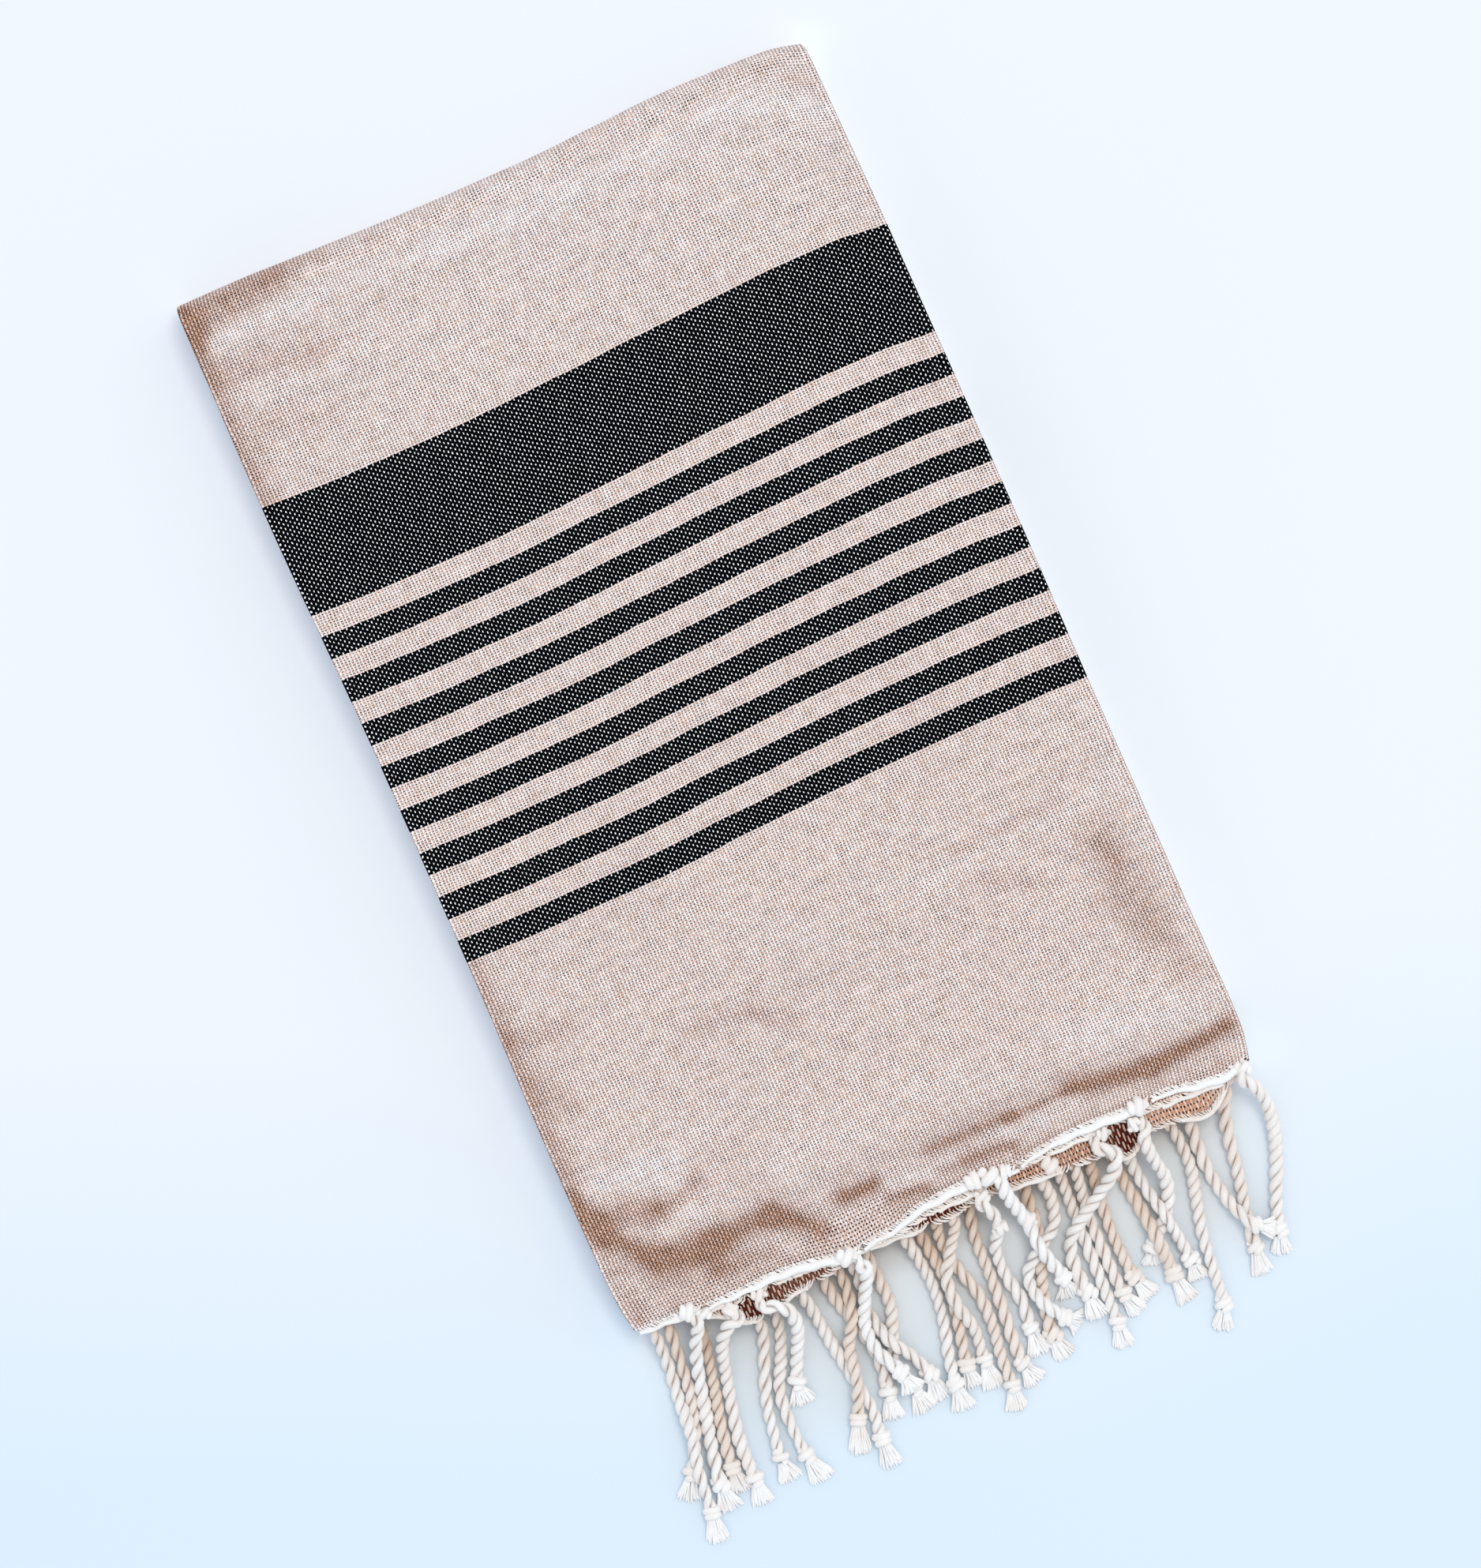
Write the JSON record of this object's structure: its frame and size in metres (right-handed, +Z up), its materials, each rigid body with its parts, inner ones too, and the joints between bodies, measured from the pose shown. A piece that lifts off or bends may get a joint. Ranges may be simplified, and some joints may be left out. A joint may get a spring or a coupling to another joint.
{
  "type": "folded hammam towel with knotted fringe",
  "caption": "Flat-woven striped cotton hammam towel folded into a neat rectangular pile, with its twisted and knotted fringe cords spread out at one end.",
  "frame": {"origin": "middle of the flat underside of the folded cloth, without the fringe", "axes": "+X to the wide soft fold on the right, +Y to the folded end away from the fringe, +Z up"},
  "size_m": [0.2619, 0.5053, 0.0232],
  "materials": {
    "striped_cotton": "flat-woven cotton in tan with near-black cross stripes and an ecru warp, matt",
    "ecru_cotton": "twisted ecru cotton yarn, matt, slightly fuzzy"
  },
  "bodies": {
    "root": {"folded_cloth": "striped_cotton", "upper_fringe": "ecru_cotton", "lower_fringe": "ecru_cotton"}
  },
  "joints": []
}
